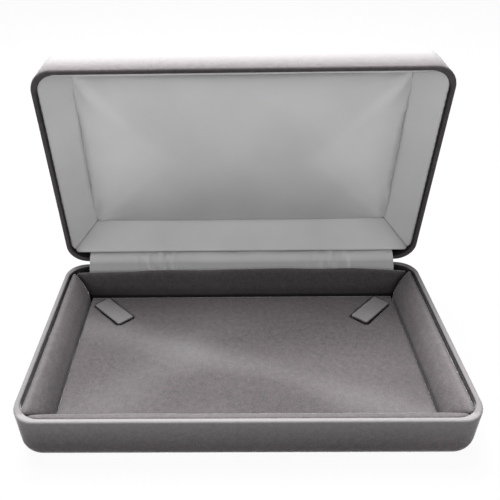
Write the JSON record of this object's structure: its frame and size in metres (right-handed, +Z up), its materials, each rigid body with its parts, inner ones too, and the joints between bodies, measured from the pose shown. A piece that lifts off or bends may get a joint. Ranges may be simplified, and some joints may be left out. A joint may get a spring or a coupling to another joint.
{
  "type": "necklace gift box",
  "caption": "Open velvet-covered clamshell jewellery box with a satin-lined lid and a velvet insert with two necklace tabs.",
  "frame": {"origin": "Centre of the flat underside of the base, where the box stands on a table.", "axes": "+X to the right along the hinge, +Y to the back where the hinge is, +Z up. The lid is stored open."},
  "size_m": [0.178, 0.1295, 0.129],
  "materials": {
    "velvet": "short grey velvet pile with a soft sheen",
    "insert_velvet": "grey velvet pile over padding",
    "satin": "smooth pale grey satin",
    "pressed_steel": "plain pressed sheet steel",
    "hinge_steel": "bright plated steel",
    "spring_steel": "blued spring steel",
    "card": "grey millboard",
    "foam": "soft open-cell foam"
  },
  "bodies": {
    "base": {"base_cover": "velvet", "base_shell": "pressed_steel", "base_hinge_leaf": "hinge_steel", "base_leaf_rivets": "hinge_steel", "hinge_pin": "hinge_steel", "snap_spring_left": "spring_steel", "snap_spring_right": "spring_steel", "hinge_ribbon": "satin", "insert_board": "card", "insert_foam": "foam", "floor_pad": "insert_velvet", "left_wall_pad": "insert_velvet", "right_wall_pad": "insert_velvet", "front_wall_pad": "insert_velvet", "rear_wall_pad": "insert_velvet"},
    "lid": {"lid_cover": "velvet", "lid_shell": "pressed_steel", "lid_hinge_leaf": "hinge_steel", "lid_leaf_rivets": "hinge_steel", "liner_board": "card", "liner_foam": "foam", "liner_centre_pad": "satin", "liner_left_panel": "satin", "liner_right_panel": "satin", "liner_front_panel": "satin", "liner_rear_panel": "satin"},
    "left_tab": {"left_tab": "insert_velvet"},
    "right_tab": {"right_tab": "insert_velvet"}
  },
  "joints": [
    {"name": "lid_hinge", "type": "hinge", "parent": "base", "child": "lid", "pos_m": [0, 0.0531, 0.0224], "axis": [1, 0, 0], "range_deg": [0, 81.8], "deforming": ["hinge_ribbon", "snap_spring_left", "snap_spring_right"]},
    {"name": "left_tab_fold", "type": "hinge", "parent": "base", "child": "left_tab", "pos_m": [-0.0709, 0.0374, 0.0094], "axis": [-0.7431, -0.6691, 0], "range_deg": [0, 40], "stiffness_Nm_per_rad": 0.0005},
    {"name": "right_tab_fold", "type": "hinge", "parent": "base", "child": "right_tab", "pos_m": [0.0709, 0.0374, 0.0094], "axis": [-0.7431, 0.6691, 0], "range_deg": [0, 40], "stiffness_Nm_per_rad": 0.0005}
  ]
}
